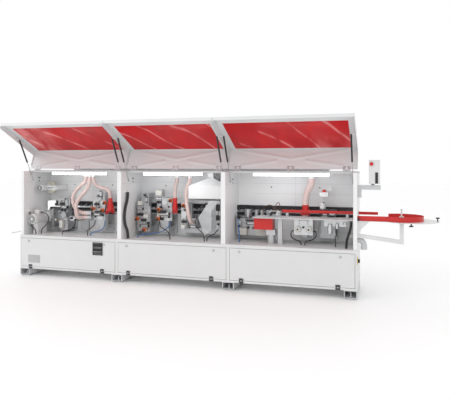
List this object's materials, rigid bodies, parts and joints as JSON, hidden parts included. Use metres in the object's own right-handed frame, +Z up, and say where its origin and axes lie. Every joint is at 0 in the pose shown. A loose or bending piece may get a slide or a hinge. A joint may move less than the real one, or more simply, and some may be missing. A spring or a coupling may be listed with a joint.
{
  "type": "edge banding machine",
  "caption": "Long edge banding machine with lift-up hoods on gas struts, fold-down base doors, trimming and gluing units, a panel conveyor and a side coil table.",
  "frame": {"origin": "middle of the footprint's bounding box, on the floor", "axes": "+X along the machine towards the infeed end, +Y towards the panel conveyor side, +Z up"},
  "size_m": [5.8329, 1.7262, 2.1497],
  "materials": {
    "aluminium_unit": "milled",
    "black_rubber": "matt",
    "black_steel": "satin black",
    "bright_steel": "machined",
    "buff_fabric": "stitched cloth",
    "cable_sheath": "smooth sheath",
    "cast_unit": "machined casting",
    "clear_plastic": "clear",
    "dark_frame": "fine textured paint",
    "duct_sheet": "smooth satin paint",
    "grey_sheet": "smooth satin paint",
    "hose_plastic": "ribbed clear hose",
    "lamp_diffuser": "opal",
    "orange_plastic": "satin",
    "red_plastic": "gloss",
    "red_sheet": "gloss paint",
    "red_window": "clear red sheet",
    "white_sheet": "smooth satin paint",
    "zinc_steel": "zinc plated"
  },
  "bodies": {
    "machine": {"base_frame": "white_sheet", "bay_cables": "cable_sheath", "buffing_motors": "aluminium_unit", "cabinet_walls": "white_sheet", "coil_rim": "red_sheet", "coil_table": "white_sheet", "control_arm": "grey_sheet", "conveyor_beam": "dark_frame", "conveyor_pads": "black_rubber", "cover_hinges": "zinc_steel", "edge_press_unit": "cast_unit", "end_trim_cover": "clear_plastic", "end_trim_unit": "cast_unit", "extraction_duct": "duct_sheet", "feed_unit": "aluminium_unit", "fine_trim_unit": "cast_unit", "glue_pot": "black_steel", "infeed_end_wall": "white_sheet", "infeed_stands": "cast_unit", "position_indicators": "orange_plastic", "red_guards": "red_sheet", "roof_panel": "grey_sheet", "rough_trim_unit": "cast_unit", "scraper_unit": "cast_unit", "suction_hoses": "hose_plastic", "support_beams": "dark_frame", "support_rail": "aluminium_unit", "table_plate": "grey_sheet", "work_lights": "lamp_diffuser"},
    "hood_1": {"hood_1": "white_sheet", "hood_window_1": "red_window"},
    "strut_rods_1": {"strut_rods_1": "black_steel"},
    "strut_cylinders_1": {"strut_cylinders_1": "black_steel"},
    "base_door_1": {"base_door_1": "white_sheet"},
    "hood_2": {"hood_2": "white_sheet", "hood_window_2": "red_window"},
    "strut_rods_2": {"strut_rods_2": "black_steel"},
    "strut_cylinders_2": {"strut_cylinders_2": "black_steel"},
    "base_door_2": {"base_door_2": "white_sheet"},
    "hood_3": {"hood_3": "white_sheet", "hood_window_3": "red_window"},
    "strut_rods_3": {"strut_rods_3": "black_steel"},
    "strut_cylinders_3": {"strut_cylinders_3": "black_steel"},
    "base_door_3": {"base_door_3": "white_sheet"},
    "buff_wheel_lower": {"buff_wheel_lower": "buff_fabric"},
    "buff_wheel_upper": {"buff_wheel_upper": "buff_fabric"},
    "fine_trim_cutters": {"fine_trim_cutters": "bright_steel"},
    "rough_trim_cutters": {"rough_trim_cutters": "bright_steel"},
    "end_trim_saw": {"end_trim_saw": "bright_steel"},
    "main_press_roller": {"main_press_roller": "bright_steel"},
    "glue_roller": {"glue_roller": "bright_steel"},
    "glue_pot_lid": {"glue_pot_lid": "black_steel"},
    "feed_roller_left": {"feed_roller_left": "black_rubber"},
    "feed_roller_right": {"feed_roller_right": "black_rubber"},
    "infeed_fence": {"infeed_fence": "red_sheet"},
    "pressure_beam": {"pressure_beam": "dark_frame"},
    "control_box": {"control_box": "white_sheet"},
    "e_stop_button": {"e_stop_button": "red_plastic"},
    "isolator_switch": {"isolator_switch": "black_steel"},
    "coil_disc": {"coil_disc": "white_sheet"}
  },
  "joints": [
    {"name": "hood_1_lift", "type": "hinge", "parent": "machine", "child": "hood_1", "pos_m": [-2.7035, -0.21691, 1.515], "axis": [1, 0, 0], "range_deg": [0, 112.7]},
    {"name": "strut_1_swing", "type": "hinge", "parent": "machine", "child": "strut_rods_1", "pos_m": [-2.7035, -0.22691, 1.362], "axis": [1, 0, 0], "range_deg": [0, 111.48]},
    {"name": "strut_1_slide", "type": "slide", "parent": "strut_rods_1", "child": "strut_cylinders_1", "axis": [0, -0.4695, 0.8829], "range_m": [-0.25509, 0]},
    {"name": "base_door_1_fold", "type": "hinge", "parent": "machine", "child": "base_door_1", "pos_m": [-2.7035, -0.44491, 0.134], "axis": [1, 0, 0], "range_deg": [0, 90]},
    {"name": "hood_2_lift", "type": "hinge", "parent": "machine", "child": "hood_2", "pos_m": [-2.7035, -0.21691, 1.515], "axis": [1, 0, 0], "range_deg": [0, 112.7]},
    {"name": "strut_2_swing", "type": "hinge", "parent": "machine", "child": "strut_rods_2", "pos_m": [-2.7035, -0.22691, 1.362], "axis": [1, 0, 0], "range_deg": [0, 111.48]},
    {"name": "strut_2_slide", "type": "slide", "parent": "strut_rods_2", "child": "strut_cylinders_2", "axis": [0, -0.4695, 0.8829], "range_m": [-0.25509, 0]},
    {"name": "base_door_2_fold", "type": "hinge", "parent": "machine", "child": "base_door_2", "pos_m": [-2.7035, -0.44491, 0.134], "axis": [1, 0, 0], "range_deg": [0, 90]},
    {"name": "hood_3_lift", "type": "hinge", "parent": "machine", "child": "hood_3", "pos_m": [-2.7035, -0.21691, 1.515], "axis": [1, 0, 0], "range_deg": [0, 112.7]},
    {"name": "strut_3_swing", "type": "hinge", "parent": "machine", "child": "strut_rods_3", "pos_m": [-2.7035, -0.22691, 1.362], "axis": [1, 0, 0], "range_deg": [0, 111.48]},
    {"name": "strut_3_slide", "type": "slide", "parent": "strut_rods_3", "child": "strut_cylinders_3", "axis": [0, -0.4695, 0.8829], "range_m": [-0.25509, 0]},
    {"name": "base_door_3_fold", "type": "hinge", "parent": "machine", "child": "base_door_3", "pos_m": [-2.7035, -0.44491, 0.134], "axis": [1, 0, 0], "range_deg": [0, 90]},
    {"name": "buff_lower_spin", "type": "hinge", "parent": "machine", "child": "buff_wheel_lower", "pos_m": [-2.5535, 0.13809, 0.8], "axis": [0, 1, 0], "continuous": true},
    {"name": "buff_upper_spin", "type": "hinge", "parent": "machine", "child": "buff_wheel_upper", "pos_m": [-2.5535, 0.05309, 1.24], "axis": [0, 1, 0], "continuous": true},
    {"name": "fine_trim_spin", "type": "hinge", "parent": "machine", "child": "fine_trim_cutters", "pos_m": [-1.6535, 0.14309, 0.9], "axis": [0, 0, 1], "continuous": true},
    {"name": "rough_trim_spin", "type": "hinge", "parent": "machine", "child": "rough_trim_cutters", "pos_m": [-0.9435, 0.14309, 0.9], "axis": [0, 0, 1], "continuous": true},
    {"name": "end_saw_spin", "type": "hinge", "parent": "machine", "child": "end_trim_saw", "pos_m": [-0.1035, 0.08309, 0.98], "axis": [1, 0, 0], "continuous": true},
    {"name": "press_roller_spin", "type": "hinge", "parent": "machine", "child": "main_press_roller", "pos_m": [0.5365, 0.12309, 0.9], "axis": [0, 0, 1], "continuous": true},
    {"name": "glue_roller_spin", "type": "hinge", "parent": "machine", "child": "glue_roller", "pos_m": [1.5515, 0.13909, 1.04], "axis": [0, 0, 1], "continuous": true},
    {"name": "glue_lid_lift", "type": "hinge", "parent": "machine", "child": "glue_pot_lid", "pos_m": [1.6665, 0.14409, 1.008], "axis": [-1, 0, 0], "range_deg": [0, 95]},
    {"name": "feed_left_spin", "type": "hinge", "parent": "machine", "child": "feed_roller_left", "pos_m": [1.2615, -0.19891, 0.773], "axis": [0, 1, 0], "continuous": true},
    {"name": "feed_right_spin", "type": "hinge", "parent": "machine", "child": "feed_roller_right", "pos_m": [1.3985, -0.19891, 0.773], "axis": [0, 1, 0], "continuous": true},
    {"name": "fence_adjust", "type": "slide", "parent": "machine", "child": "infeed_fence", "axis": [0, 1, 0], "range_m": [-0.005, 0.005]},
    {"name": "pressure_beam_height", "type": "slide", "parent": "machine", "child": "pressure_beam", "axis": [0, 0, 1], "range_m": [-0.015, 0.037]},
    {"name": "control_box_swivel", "type": "hinge", "parent": "machine", "child": "control_box", "pos_m": [2.1715, -0.31441, 1.4], "axis": [0, 0, 1], "range_deg": [-90, 90]},
    {"name": "e_stop_press", "type": "slide", "parent": "control_box", "child": "e_stop_button", "axis": [0, 1, 0], "range_m": [0, 0.004], "stiffness_N_per_m": 1500},
    {"name": "isolator_turn", "type": "hinge", "parent": "machine", "child": "isolator_switch", "pos_m": [2.0165, -0.36191, 0.445], "axis": [1, 0, 0], "range_deg": [0, 90]},
    {"name": "coil_disc_spin", "type": "hinge", "parent": "machine", "child": "coil_disc", "pos_m": [2.4965, -0.16691, 0.93], "axis": [0, 0, 1], "continuous": true}
  ],
  "couplings": [
    {"joint": "strut_1_swing", "follows": "hood_1_lift", "ratio": 0.98906},
    {"joint": "strut_1_slide", "follows": "hood_1_lift", "m_per_rad": -0.12966},
    {"joint": "strut_2_swing", "follows": "hood_2_lift", "ratio": 0.98906},
    {"joint": "strut_2_slide", "follows": "hood_2_lift", "m_per_rad": -0.12966},
    {"joint": "strut_3_swing", "follows": "hood_3_lift", "ratio": 0.98906},
    {"joint": "strut_3_slide", "follows": "hood_3_lift", "m_per_rad": -0.12966},
    {"joint": "feed_right_spin", "follows": "feed_left_spin", "ratio": -1}
  ]
}
